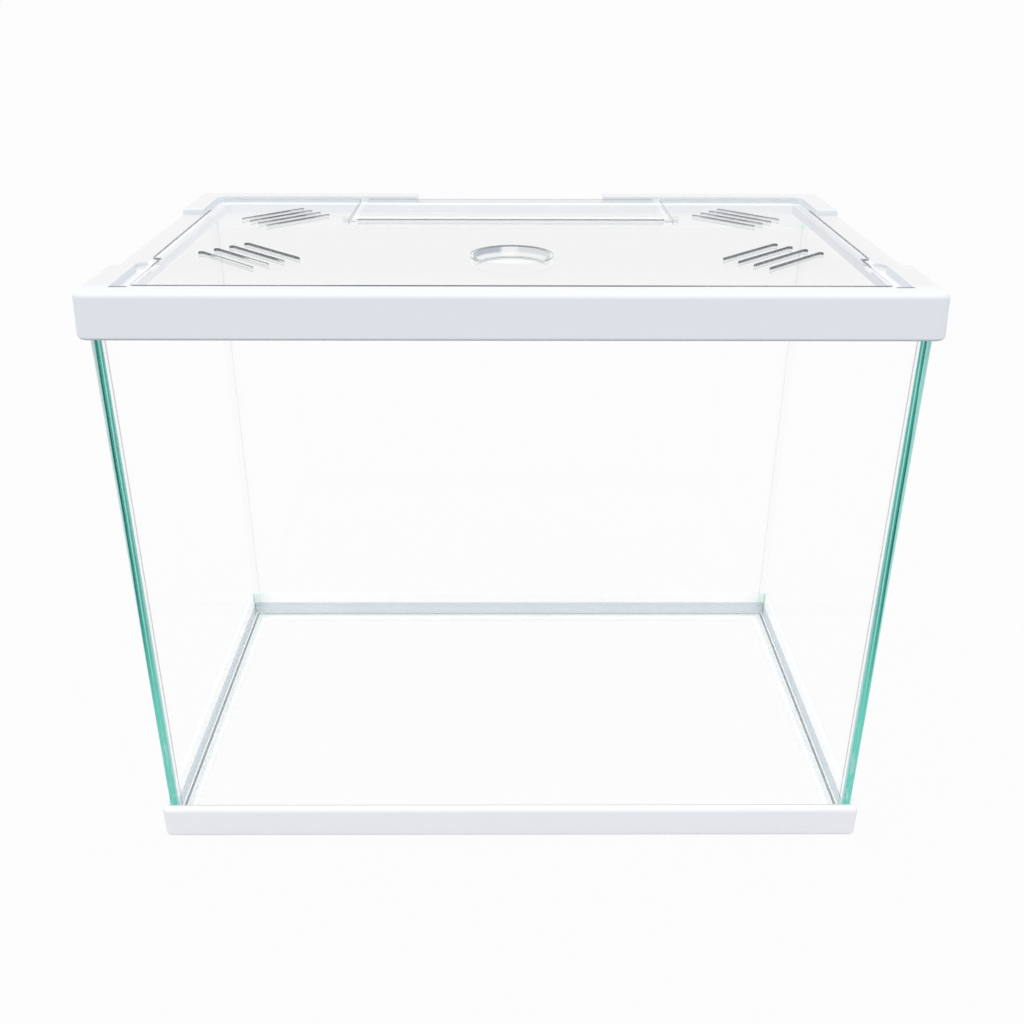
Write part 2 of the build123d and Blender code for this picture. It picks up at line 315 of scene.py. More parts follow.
@dataclass(frozen=True)
class WhitePlastic:
    """White moulded plastic with a satin face and a faint mould grain, and with painted shade and light in its
    colour.

    The recess is the hollow that the lid lies in, the seat is the line where the moulding meets the glass, and
    the three edge values say where its face ends against the front pane. Sizes are in millimetres.
    """

    name: str
    colour: Colour
    # Painted shade: the darker tone of level faces behind the front bar
    level: Colour
    # Painted light: the paler tone of the lid's recess
    recess: Colour
    edge_low: float
    edge_high: float
    edge_reach: float
    recess_width: float = 381.2
    recess_depth: float = 225.2
    seat_width: float = 400.6
    seat_depth: float = 244.6
    web_low: float = 318.3
    ledge_top: float = LEDGE_TOP
    ledge_width: float = 7.0
    lid_width: float = 367.0
    lid_step: float = -55.0
    lip_rise: float = 3.8
    bar_rear: tuple[float, float] = (-120.0, -106.0)
    raised_wall_shade: Colour = (0.83, 0.865, 0.90)
    # Painted light: the tone of the inner faces
    skirt_colour: Colour = (0.925, 0.917, 0.91)
    gap_shadow_colour: Colour = (0.22, 0.24, 0.27)
    corner_shade_colour: Colour = (0.30, 0.33, 0.38)
    light: Colour = (0.98, 0.98, 0.98)
    cloud_shade: float = 0.985
    seam_shade: float = 0.55
    corner_shade_share: float = 0.35
    # Painted light: how strongly the inner faces glow
    skirt_glow: float = 0.38
    web_glow: float = 0.17
    roughness: float = 0.38
    grain: float = 0.7

    def material(self) -> bpy.types.Material:
        """Builds the material: level faces, the lid's recess and the edge by the glass take tones of painted shade
        and light, and the inner faces a painted glow.

        Returns:
            The material.
        """
        material, g = new_material(self.name)
        x, y, z = g.place()
        across, _, up = g.facing()
        cloud = g.noise(60.0, 2.0)
        grain = g.noise(self.grain, 2.0)
        inside = (abs(x) < self.recess_width / 2) * (abs(y) < self.recess_depth / 2)
        raised = z > self.ledge_top + 0.2
        # Painted shade and light: level faces behind the front bar are darker, the recess is paler and its raised
        # walls darker
        level = up.step(0.80, 0.97) * y.step(*self.bar_rear)
        colour = g.mix(cloud, self.colour, shaded(self.colour, self.cloud_shade))
        colour = g.mix(level, colour, self.level)
        colour = g.mix(inside, colour, g.mix(raised, self.recess, self.raised_wall_shade))

        # A thin shade where the front face ends against the glass
        off_glass = (abs(x) - self.seat_width / 2).largest(abs(y) - self.seat_depth / 2)
        front = y < -self.seat_depth / 2
        near_glass = off_glass.step(self.edge_reach, self.edge_reach - 0.5)
        seam = z.step(self.edge_low, self.edge_high) * near_glass * front
        colour = g.mix(seam, colour, shaded(self.colour, self.seam_shade))

        # A painted shadow line: the dark line at the lid's front goes on along the front bar over the two finger gaps
        bar_y = -self.recess_depth / 2
        gap = abs(x).band(self.lid_width / 2 - 1.5, self.recess_width / 2, 0.1)
        gap_shadow_line = y.band(bar_y - 2.0, bar_y + 0.3, 0.1) * gap * (z > self.ledge_top + self.lip_rise)
        colour = g.mix(gap_shadow_line, colour, self.gap_shadow_colour)

        # Painted shade: the front corners are darker where they turn to the side
        turn = across.band(0.82, 0.99, 0.06) * front * (off_glass > 0.5)
        colour = g.mix(turn * self.corner_shade_share, colour, self.corner_shade_colour)

        # Painted light: the inner faces take their own colour and glow by emission, all but the ledge in the finger
        # gaps
        skirt = (off_glass < 0.1) * (z < self.web_low)
        colour = g.mix(skirt, colour, self.skirt_colour)
        level_face = up > 0.5
        open_gap = (abs(x) > self.lid_width / 2) * (y < self.lid_step)
        web = (z > self.web_low) * (1.0 - raised) * inside * (1.0 - open_gap * level_face)
        side_share = 1.0 - 0.6 * (x > self.recess_width / 2 - self.ledge_width)
        ledge_share = level_face * (0.75 * (y > self.recess_depth / 2 - self.ledge_width) - 0.50)
        glow = skirt * self.skirt_glow + web * (side_share + ledge_share) * self.web_glow
        g.surface(
            {
                "Base Color": colour,
                "Roughness": self.roughness + 0.08 * (cloud - 0.5) + 0.06 * (grain - 0.5),
                "IOR": PLASTIC_IOR,
                "Emission Color": g.mix(glow, BLACK, self.light),
                "Emission Strength": 1.0,
                "Normal": g.bump(grain, 0.12, 0.02),
            }
        )
        return material


# Green of a cut glass edge with painted stripes of refraction and highlight, from its outer side to its inner side,
# as place and colour
PAINTED_EDGE_STRIPES: list[tuple[float, Colour]] = [
    (0.00, (0.92, 0.99, 0.99)),
    (0.34, (0.86, 0.99, 0.98)),
    (0.375, (0.55, 1.00, 0.94)),
    (0.395, (0.014, 0.230, 0.185)),
    (0.44, (0.010, 0.200, 0.155)),
    (0.47, (0.040, 0.480, 0.390)),
    (0.53, (0.050, 0.520, 0.420)),
    (0.545, (0.60, 1.00, 0.95)),
    (0.59, (0.55, 0.99, 0.93)),
    (0.605, (0.09, 0.50, 0.41)),
    (0.64, (0.18, 0.66, 0.56)),
    (0.66, (0.05, 0.32, 0.26)),
    (0.68, (0.24, 0.68, 0.60)),
    (0.80, (0.45, 0.80, 0.76)),
    (1.00, (0.66, 0.84, 0.87)),
]


@dataclass(frozen=True)
class FloatGlass:
    """Clear float glass whose cut edges show their green, with painted stripes of refraction and highlight.

    At a corner, the end of the long pane and the edge of the side pane make one band. front_view is how wide
    the long pane's end looks in it, start is where the stripes begin at the height edge_top, drift is how much
    they lean per millimetre of height, and wander is how far they stray. Sizes are in millimetres.
    """

    width: float = 400.0
    depth: float = 244.0
    thickness: float = 5.0
    film: float = 0.6
    floor_top: float = 8.6
    edge_top: float = 305.0
    front_view: float = 0.39
    drift: float = 0.0013
    start: float = 0.22
    wander: float = 0.22
    green_top: float = 170.0
    green_low: float = 70.0
    streak_top: float = 85.0
    streak_low: float = 55.0
    streak_share: float = 0.55
    clear_share: float = 0.85
    floor_share: float = 0.35
    face: Colour = (0.97, 0.99, 0.98)
    right_end: Colour = (0.55, 0.95, 0.88)
    low_outer: Colour = (0.22, 0.80, 0.67)
    low_inner: Colour = (0.66, 0.86, 0.87)
    streak: Colour = (0.70, 0.86, 0.86)
    below_floor_shade: Colour = (0.40, 0.56, 0.58)

    def material(self) -> bpy.types.Material:
        """Builds the material: the faces only mirror a little and the edges carry the green and its painted stripes.

        Returns:
            The material.
        """
        material, g = new_material("float_glass")
        x, y, z = g.place()
        across, along, up = g.facing()
        reach_x, reach_y = abs(x), abs(y)
        inner_y = self.depth / 2 - self.thickness
        split_y = inner_y - self.film / 2
        inner_x = self.width / 2 - self.thickness

        # Which cut edge a point lies on: the end of a front or rear pane, a side pane or the floor pane
        turned = 0.6 + 0.3 * (y > 0.0)
        long_end = (reach_y > split_y) * (across > turned)
        side_end = (reach_y < split_y) * (reach_x > inner_x - self.film / 2) * (along > turned)
        floor_end = (reach_y < split_y) * (reach_x < inner_x - self.film / 2) * (up < 0.9)

        # Way across the corner: 0 to 1 over a side pane's edge, and below 0 over the end of the long pane
        on_side = (self.width / 2 - reach_x) / self.thickness
        on_long = (inner_y - reach_y) * (self.front_view / self.thickness)
        way = on_side * side_end + on_long * long_end

        # The stripes lean outwards on the way down and wander a little
        wander = (g.noise(90.0, 2.0, (9.0, 9.0, 1.0)) - 0.5) * self.wander
        start = self.start + 0.02 * x.sign() + wander
        shift = way - start - (z - self.edge_top) * self.drift
        stripes = g.ramp(shift * 0.5 + 0.5, PAINTED_EDGE_STRIPES)

        # Painted light: on the right the outer part of the long pane's end is pale, and near the floor all is an even
        # green
        right_end = long_end * (x > 0.0) * (shift < -0.21)
        stripes = g.mix(right_end, stripes, self.right_end)
        low_tone = g.mix(way.step(0.35, 0.55), self.low_outer, self.low_inner)
        stripes = g.mix(z.step(self.green_top, self.green_low), stripes, low_tone)

        # Near the floor the painted stripes break into paler upright streaks
        streak = g.noise(2.2, 1.0, (1.0, 1.0, 4.0)).step(0.52, 0.62) * z.step(self.streak_top, self.streak_low)
        stripes = g.mix(streak * self.streak_share, stripes, self.streak)

        # The inner part of a side pane's edge is nearly clear
        clear = way.step(0.60, 0.72) * self.clear_share
        seen = (side_end + long_end) * (1.0 - clear)

        # Seen from behind, only the ends of the front pane show
        behind = g.behind()
        hidden = behind * (1.0 - long_end * (y < 0.0))
        # Below the floor's level the edge takes a painted shade
        low = z.step(self.floor_top + 0.1, self.floor_top)
        tint = g.mix(low, stripes, self.below_floor_shade)
        mirror = g.mirror(0.01, 0.02)
        cut = (seen * (1.0 - hidden)).largest(floor_end * self.floor_share)
        smears = g.noise(35.0, 3.0)
        g.surface(
            {
                "Base Color": g.mix(cut, self.face, tint),
                "Metallic": 1.0 - cut.step(0.0, 0.2),
                "Roughness": 0.03 + 0.04 * smears + cut * 0.25,
                "IOR": GLASS_IOR,
                "Specular IOR Level": 0.1,
                "Alpha": cut.largest(mirror),
            }
        )
        return material


@dataclass(frozen=True)
class ClearSilicone:
    """Clear silicone: nearly invisible but for a thin line in the corner and along its free edge."""

    inner_width: float = 390.0
    inner_depth: float = 234.0
    floor_top: float = 8.6
    bead: float = 3.0
    colour: Colour = (0.93, 0.95, 0.96)
    line_colour: Colour = (0.58, 0.53, 0.58)
    front_line: float = 0.36
    rear_line: float = 0.10

    def material(self) -> bpy.types.Material:
        """Builds the material for the beads in the corners and round the floor.

        Returns:
            The material.
        """
        material, g = new_material("clear_silicone")
        x, y, z = g.place()
        from_x = self.inner_width / 2 - abs(x)
        from_y = self.inner_depth / 2 - abs(y)
        upright = z.step(self.floor_top + self.bead - 0.2, self.floor_top + self.bead + 0.2)

        line = from_x.band(-0.35, 0.4, 0.2) * from_y.band(-0.3, 0.9, 0.2)
        rear = y > 0.0
        free = from_y.band(self.bead - 0.4, self.bead + 0.3, 0.3) * rear
        line_share = self.front_line - (self.front_line - self.rear_line) * rear
        beads = upright * (line * line_share + free * 0.05 + 0.01)

        lumps = g.noise(14.0, 2.0)
        low = (1.0 - upright) * (0.05 + 0.05 * lumps)
        colour = g.mix(line * upright, self.colour, self.line_colour)
        g.surface(
            {
                "Base Color": colour,
                "Roughness": 0.22 + 0.12 * lumps,
                "IOR": SILICONE_IOR,
                "Alpha": (beads + low).smallest(1.0),
                "Normal": g.bump(lumps, 0.25, 0.15),
            }
        )
        return material


@dataclass(frozen=True)
class BondSilicone:
    """Silicone between the glass and the frames, squeezed thin, with a cool grey that is painted shade."""

    glass_width: float = 400.0
    glass_depth: float = 244.0
    colour: Colour = (0.68, 0.78, 0.86)
    pale: Colour = (0.80, 0.89, 0.95)
    foot_shade_colour: Colour = (0.20, 0.30, 0.32)
    foot_share: float = 0.60
    wall_share: float = 0.47
    clear_share: float = 0.03

    def material(self) -> bpy.types.Material:
        """Builds the material: painted shade shows on its upright sides and in a thin dark line under the glass
        edges.

        Returns:
            The material.
        """
        material, g = new_material("bond_silicone")
        x, y, _ = g.place()
        across, along, _ = g.facing()
        wall = across.largest(along) > 0.5
        off_glass = (abs(x) - self.glass_width / 2).largest(abs(y) - self.glass_depth / 2)
        foot = off_glass.band(-2.4, -0.9, 0.3) * (1.0 - wall)
        lumps = g.noise(18.0, 2.0, (2.0, 2.0, 1.0))
        g.surface(
            {
                "Base Color": g.mix(foot, g.mix(lumps, self.colour, self.pale), self.foot_shade_colour),
                "Roughness": 0.3 + 0.1 * lumps,
                "IOR": SILICONE_IOR,
                "Alpha": (self.clear_share + wall * self.wall_share).largest(foot * self.foot_share),
            }
        )
        return material


@dataclass(frozen=True)
class ClearPlastic:
    """Clear moulded plastic: faintly grey faces, and walls painted with thin dark lines along their edges, standing
    in for how light bends through them.

    The vents lie vent_in to vent_out from the middle, the bay is the gap that the flap lies in, and the collar
    stands round the feed hole. Sizes are in millimetres.
    """

    plate_low: float = LEDGE_TOP
    plate_high: float = 326.4
    feed_y: float = -48.0
    feed_radius: float = 20.2
    collar_radius: float = 22.0
    collar_top: float = 327.4
    collar_low: float = 320.4
    vent_in: float = 105.0
    vent_out: float = 175.0
    vent_reach: float = 90.0
    bay_front: float = 46.2
    bay_half: float = 97.7
    flap_half: float = 92.6
    hinge_y: float = 49.5
    rear_vent_offset: float = 82.9
    haze: float = 0.055
    face: Colour = (0.24, 0.25, 0.26)
    wall_colour: Colour = (0.16, 0.19, 0.22)
    vent_colour: Colour = (0.018, 0.060, 0.075)
    bay_colour: Colour = (0.16, 0.22, 0.27)
    collar_left: Colour = (0.20, 0.27, 0.36)
    collar_right: Colour = (0.30, 0.42, 0.46)
    # Colour of the painted highlights on the barrel and in the collar
    bright: Colour = (0.97, 0.98, 1.0)
    seam_shadow_colour: Colour = (0.05, 0.07, 0.08)

    def material(self) -> bpy.types.Material:
        """Builds the material for the lid and the flap.

        Returns:
            The material.
        """
        material, g = new_material("clear_plastic")
        x, y, z = g.place()
        across, _, up = g.facing()
        wall = up.step(0.75, 0.35)
        facing = 1.0 - g.behind()
        radius = (x * x + (y - self.feed_y) * (y - self.feed_y)).maths("SQRT")
        collar = radius < self.collar_radius + 0.3
        vents = abs(x).band(self.vent_in, self.vent_out, 0.1) * (abs(y) < self.vent_reach)
        bay = (abs(x) < self.bay_half + 0.2) * (y > self.bay_front - 3.0)

        # Thin painted dark lines along the upper and lower edge of every wall stand in for how the edges bend light
        top_line = z.band(self.plate_high - 0.6, self.plate_high + 0.3, 0.3)
        low_line = z.band(self.plate_low - 0.3, self.plate_low + 0.35, 0.2)
        lines = (top_line * 0.80 + low_line * 0.35) * (0.35 + 0.65 * facing)

        # Painted shade: a front vent's far wall is dark but for its front end, and a rear vent's only along its
        # middle
        right = x > 0.0
        at_rear = y > 0.0
        reach = (y - 0.27 * abs(x) + right * 40.0).step(-90.0, -84.0)
        middle = (y - abs(x) + self.rear_vent_offset).band(-19.0, 19.0, 8.0)
        dark_wall = (reach * 0.85) * (1.0 - at_rear) + middle * (0.66 - 0.33 * right) * at_rear
        front_reach = z.step(self.plate_low + 1.4, self.plate_low + 1.8)
        rear_reach = z.band(self.plate_high - 0.95, self.plate_high - 0.35, 0.2)
        vent_fill = facing * dark_wall * (front_reach * (1.0 - at_rear) + rear_reach * at_rear)

        # Painted shade: the walls beside the flap are a cool grey, the right one paler
        bay_wall = across > 0.6
        bay_fill = facing * bay_wall * (0.55 - 0.25 * right)
        plate = lines.largest(vents * vent_fill).largest(bay * bay_fill).largest(0.05)

        # Painted highlight and shadow: the flap's barrel is bright on top and dark where it dips into its seam
        barrel = (abs(x) < self.flap_half) * y.band(self.hinge_y - 2.6, self.hinge_y + 2.6, 0.1)
        shine = barrel * z.step(self.plate_high - 0.1, self.plate_high + 0.3)
        foremost = y.step(self.hinge_y - 1.5, self.hinge_y - 2.1)
        seam_shadow = facing * barrel * foremost * z.band(self.plate_high - 0.8, self.plate_high - 0.1, 0.2)

        # The feed hole's collar: painted bands of reflection and a painted glint on the far inner wall, thin painted
        # lines on its edges
        inner = (radius < self.feed_radius + 0.6) * facing
        rim_line = z.band(self.collar_top - 0.45, self.collar_top + 0.3, 0.2)
        lip_line = z.band(self.collar_low + 0.8, self.collar_low + 1.4, 0.2)
        foot_line = z.band(self.collar_low - 0.3, self.collar_low + 0.35, 0.2)
        far = (y - self.feed_y).step(-6.0, 6.0)
        centre = abs(x + 1.0).step(6.0, 2.0)
        upper = z.step(self.collar_low + 3.0, self.collar_low + 4.5)
        bands = upper * (0.50 - 0.25 * right) * (1.0 - centre) + 0.12
        arcs = (lip_line * 0.85).largest(foot_line * 0.40) * abs(x).step(18.5, 16.0)
        ends = abs(x).step(15.5, 18.5)
        rim = rim_line * (0.04 + 0.80 * far + 0.85 * ends * (1.0 - far))
        glint = centre * inner * upper * far * 0.5
        ring = rim.largest(inner * far * bands.largest(arcs)).largest(glint)
        walls = plate * (1.0 - collar) + collar * ring

        mirror = g.mirror(0.04, 0.30)
        smears = g.noise(45.0, 3.0)
        dark = g.mix((vents * dark_wall).step(0.1, 0.4), self.wall_colour, self.vent_colour)
        dark = g.mix(bay * bay_wall, dark, self.bay_colour)
        side_tone = g.mix(right, self.collar_left, self.collar_right)
        tone = g.mix(centre, side_tone, self.bright)
        inner_lines = lip_line.largest(foot_line).largest(rim_line)
        wall_tone = g.mix(collar * inner * (1.0 - inner_lines), dark, tone)
        colour = g.mix(seam_shadow, g.mix(wall, self.face, wall_tone), self.seam_shadow_colour)

        # The faces are a faint haze, thinner at the front and under the collar
        haze = self.haze * (0.6 + 0.4 * y.step(-110.0, -60.0)) + mirror * 0.1
        under = collar * (z < self.plate_low - 0.2)
        faces = haze * (1.0 - 0.85 * under)
        g.surface(
            {
                "Base Color": g.mix(shine, colour, self.bright),
                "Roughness": 0.06 + 0.06 * smears,
                "IOR": PLASTIC_IOR,
                "Alpha": faces.largest(wall * walls).largest(shine * 0.55).largest(seam_shadow * 0.6),
            }
        )
        return material


@dataclass(frozen=True)
class EdgeBeadPlastic:
    """The clear bead along the lid's edge: a painted dark shade line from the side and a painted highlight from
    above.
    """

    front_y: float = -109.0
    rail_front: float = -72.0
    rail_rear: float = 73.0
    top: Colour = (0.85, 0.87, 0.90)
    side: Colour = (0.13, 0.15, 0.17)
    front: Colour = (0.04, 0.05, 0.06)

    def material(self) -> bpy.types.Material:
        """Builds the material: painted shade makes it dark along the front and beside the low rails, and it is pale
        beside the raised corners.

        Returns:
            The material.
        """
        material, g = new_material("edge_bead_plastic")
        x, y, _ = g.place()
        _, _, up = g.facing()
        front = y < self.front_y
        shown = y.band(self.rail_front, self.rail_rear, 4.0).largest(front)
        side = (up.step(0.85, 0.45) * (0.12 + 0.88 * shown)).largest(up.step(0.99, 0.92) * front)
        g.surface(
            {
                "Base Color": g.mix(side, self.top, g.mix(front, self.side, self.front)),
                "Roughness": 0.08 + 0.04 * g.noise(30.0, 2.0),
                "IOR": PLASTIC_IOR,
                "Alpha": 0.22 + side * (0.60 + front * (0.15 - 0.45 * abs(x).step(50.0, 110.0))),
            }
        )
        return material


def place_piece(
    mesh: bmesh.types.BMesh, name: str, material: bpy.types.Material, body: Body, slot: Slot, *nodes: str
) -> bpy.types.Object:
    """Turns a finished bmesh into a piece of the tank.

    Args:
        mesh: The piece, in metres at its place. It is freed.
        name: Name of the new object.
        material: Its finish.
        body: The body that it rides on.
        slot: The record's material slot; it is not used.
        nodes: The CAD nodes that it stands for.

    Returns:
        The new object.
    """
    data = bpy.data.meshes.new(name)
    mesh.to_mesh(data)
    mesh.free()
    data.materials.append(material)
    piece = bpy.data.objects.new(name, data)
    bpy.context.scene.collection.objects.link(piece)
    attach(piece, body.value)
    if nodes:
        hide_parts(*nodes)
    log.info("%s: %d faces", name, len(data.polygons))
    return piece


def fill(mesh: bmesh.types.BMesh, way: Vector) -> None:
    """Closes the outline that a mesh's points make and draws it out along way.

    Args:
        mesh: A mesh that holds only the outline's points, in order.
        way: How far it is drawn out, in metres.
    """
    outline = mesh.faces.new(list(mesh.verts))
    drawn = bmesh.ops.extrude_face_region(mesh, geom=[outline])
    ends = [item for item in drawn["geom"] if isinstance(item, bmesh.types.BMVert)]
    bmesh.ops.translate(mesh, verts=ends, vec=way)


def smooth(mesh: bmesh.types.BMesh, sharp_angle: float) -> None:
    """Shades a mesh smooth, but not over edges that turn more than sharp_angle degrees.

    Args:
        mesh: The mesh.
        sharp_angle: The least angle of an edge that stays sharp.
    """
    for face in mesh.faces:
        face.smooth = True
    for edge in mesh.edges:
        edge.smooth = edge.is_manifold and edge.calc_face_angle() < math.radians(sharp_angle)


def dress(piece: bpy.types.Object, material: bpy.types.Material) -> None:
    """Gives a CAD node's own object a finish; its shape stays as it is.

    Args:
        piece: The object.
        material: The finish.
    """
    piece.data.materials.clear()
    piece.data.materials.append(material)
    log.info("%s: dressed", piece.name)


@dataclass
class Moulding:
    """A hard part whose shape comes from its solid, smoothed over its rounded edges.

    What lies at the level low_face is raised by lift, so that it doesn't share a plane with what it rests on.
    """

    node: str
    name: str
    body: Body
    slot: Slot
    sharp_angle: float = 40.0
    flat_angle: float = 0.5
    merge: float = 0.001
    low_face: float = 0.0
    lift: float = 0.0

    def build(self, source: bpy.types.Object, material: bpy.types.Material) -> bpy.types.Object:
        """Copies the solid, merges its triangles and softens it.

        Args:
            source: The CAD node's object.
            material: The finish.

        Returns:
            The new piece.
        """
        mesh = bmesh.new()
        mesh.from_mesh(source.data)
        bmesh.ops.remove_doubles(mesh, verts=mesh.verts, dist=self.merge * MM)
        flat = math.radians(self.flat_angle)
        bmesh.ops.dissolve_limit(
            mesh, angle_limit=flat, verts=mesh.verts, edges=mesh.edges, use_dissolve_boundaries=False
        )
        for vertex in mesh.verts:
            if abs(vertex.co.z - self.low_face * MM) < NEAR * MM:
                vertex.co.z += self.lift * MM
        smooth(mesh, self.sharp_angle)
        piece = place_piece(mesh, self.name, material, self.body, self.slot, self.node)
        weighted = piece.modifiers.new("even_faces", "WEIGHTED_NORMAL")
        weighted.keep_sharp = True
        return piece


@dataclass
class GlassBox:
    """The five panes and the silicone that holds them together."""

    inner_width: float = 390.0
    inner_depth: float = 234.0
    glass_bottom: float = 3.6
    glass_top: float = 317.8
    floor_top: float = 8.6
    thickness: float = 5.0
    film: float = 0.6
    bead: float = 3.0
    clearance: float = 0.05
    arc_steps: int = 6
    ripple: float = 0.12
    ripple_step: float = 6.0
    ripple_length: float = 9.0
    sharp_angle: float = 40.0

    @staticmethod
    def dress_panes(nodes: dict[str, bpy.types.Object], material: bpy.types.Material) -> None:
        """Gives the five panes their finish."""
        for name in ("front_glass", "rear_glass", "left_glass", "right_glass", "floor_glass"):
            dress(nodes[name], material)

    def corner_bead(self, side_x: int, side_y: int, material: bpy.types.Material) -> bpy.types.Object:
        """Builds the silicone of one upright joint.

        Args:
            side_x: -1 for a left corner and 1 for a right one.
            side_y: -1 for a front corner and 1 for a rear one.
            material: Clear silicone.

        Returns:
            The bead, with the film behind the side pane's edge.
        """
        mesh = bmesh.new()
        gap = self.clearance
        low = self.floor_top + self.bead
        inner_x, inner_y = self.inner_width / 2 - gap, self.inner_depth / 2 - gap
        start = mesh.verts.new(self._corner(side_x, side_y, inner_x - self.bead, inner_y, low))
        centre = self._corner(side_x, side_y, inner_x - self.bead, inner_y - self.bead, low)
        bmesh.ops.spin(
            mesh,
            geom=[start],
            cent=centre,
            axis=(0, 0, 1),
            dvec=(0, 0, 0),
            angle=-side_x * side_y * math.pi / 2,
            steps=self.arc_steps,
        )
        reach = self.inner_width / 2 + self.thickness - gap
        behind = self.inner_depth / 2 - self.film + gap
        for far_x, far_y in ((inner_x, behind), (reach, behind), (reach, inner_y)):
            mesh.verts.new(self._corner(side_x, side_y, far_x, far_y, low))
        up = Vector((0, 0, 1))
        fill(mesh, up * (self.glass_top - low - gap) * MM)
        self._cut_across(mesh, up, low, self.glass_top)
        self._ripple(mesh, centre, up)
        name = f"{'front' if side_y < 0 else 'rear'}_{'left' if side_x < 0 else 'right'}"
        return self._close(mesh, f"{name}_bead", material, f"{name}_seal")

    def floor_bead(
        self, name: str, turn: int, length: float, distance: float, material: bpy.types.Material
    ) -> bpy.types.Object:
        """Builds the silicone between the floor pane and one wall.

        Args:
            name: Side of the tank that the bead runs along.
            turn: How far that side is turned from the front, in degrees.
            length: Length of the wall.
            distance: Distance from the middle of the tank to the wall.
            material: Clear silicone.

        Returns:
            The bead, mitred at both ends.
        """
        mesh = bmesh.new()
        gap = self.clearance
        wall = -distance + gap
        low = self.floor_top + gap
        start = mesh.verts.new(Vector((-length / 2, wall, low + self.bead)) * MM)
        centre = Vector((-length / 2, wall + self.bead, low + self.bead)) * MM
        bmesh.ops.spin(
            mesh, geom=[start], cent=centre, axis=(1, 0, 0), dvec=(0, 0, 0), angle=math.pi / 2, steps=self.arc_steps
        )
        film = -distance + self.film - gap
        for far_y, far_z in ((film, low), (film, self.glass_bottom + gap), (wall, self.glass_bottom + gap)):
            mesh.verts.new(Vector((-length / 2, far_y, far_z)) * MM)
        along = Vector((1, 0, 0))
        fill(mesh, along * length * MM)
        for vertex in mesh.verts:
            vertex.co.x -= math.copysign(vertex.co.y + distance * MM, vertex.co.x)
        self._cut_across(mesh, along, -length / 2 + self.bead, length / 2 - self.bead)
        self._ripple(mesh, centre, along)
        bmesh.ops.rotate(mesh, verts=mesh.verts, cent=(0, 0, 0), matrix=Matrix.Rotation(math.radians(turn), 3, "Z"))
        return self._close(mesh, f"{name}_floor_bead", material, f"{name}_floor_seal")

    @staticmethod
    def _corner(side_x: int, side_y: int, x: float, y: float, z: float) -> Vector:
        """Returns a place in the corner that the two sides name, in metres."""
        return Vector((side_x * x, side_y * y, z)) * MM

    def _cut_across(self, mesh: bmesh.types.BMesh, way: Vector, start: float, end: float) -> None:
        """Cuts a bead across every few millimetres, so that it can ripple.

        Args:
            mesh: The bead.
            way: Direction that it runs in.
            start: Where the cuts start along way, in millimetres.
            end: Where they end.
        """
        steps = round((end - start) / self.ripple_step)
        for step in range(1, steps):
            place = way * (start + (end - start) * step / steps) * MM
            geometry = mesh.verts[:] + mesh.edges[:] + mesh.faces[:]
            bmesh.ops.bisect_plane(mesh, geom=geometry, dist=0.0001 * MM, plane_co=place, plane_no=way)

    def _ripple(self, mesh: bmesh.types.BMesh, centre: Vector, way: Vector) -> None:
        """Moves the free face of a bead in and out a little, as a tool leaves it.

        Args:
            mesh: The bead.
            centre: A point on the axis of the hollow face.
            way: Direction of that axis.
        """
        for vertex in mesh.verts:
            off = vertex.co - centre
            off -= way * off.dot(way)
            if abs(off.length - self.bead * MM) < NEAR * MM:
                phase = vertex.co.dot(way) / (self.ripple_length * MM)
                swell = 0.7 * math.sin(phase) + 0.3 * math.sin(2.3 * phase + 1.0)
                vertex.co += off.normalized() * self.ripple * swell * MM

    def _close(
        self, mesh: bmesh.types.BMesh, name: str, material: bpy.types.Material, node: str
    ) -> bpy.types.Object:
        """Turns a bead's faces outwards and places it.

        Args:
            mesh: The bead.
            name: Name of the new object.
            material: Clear silicone.
            node: The CAD node that it stands for.

        Returns:
            The new piece.
        """
        bmesh.ops.recalc_face_normals(mesh, faces=mesh.faces)
        smooth(mesh, self.sharp_angle)
        return place_piece(mesh, name, material, Body.TANK, Slot.SILICONE, node)

    def build_silicone(self, material: bpy.types.Material) -> None:
        """Builds the beads of the four upright joints and of the floor.

        Args:
            material: Clear silicone.
        """
        for side_x in (-1, 1):
            for side_y in (-1, 1):
                self.corner_bead(side_x, side_y, material)
        width, depth = self.inner_width, self.inner_depth
        for name, turn, length, distance in (
            ("front", 0, width, depth / 2),
            ("right", 90, depth, width / 2),
            ("rear", 180, width, depth / 2),
            ("left", 270, depth, width / 2),
        ):
            self.floor_bead(name, turn, length, distance, material)


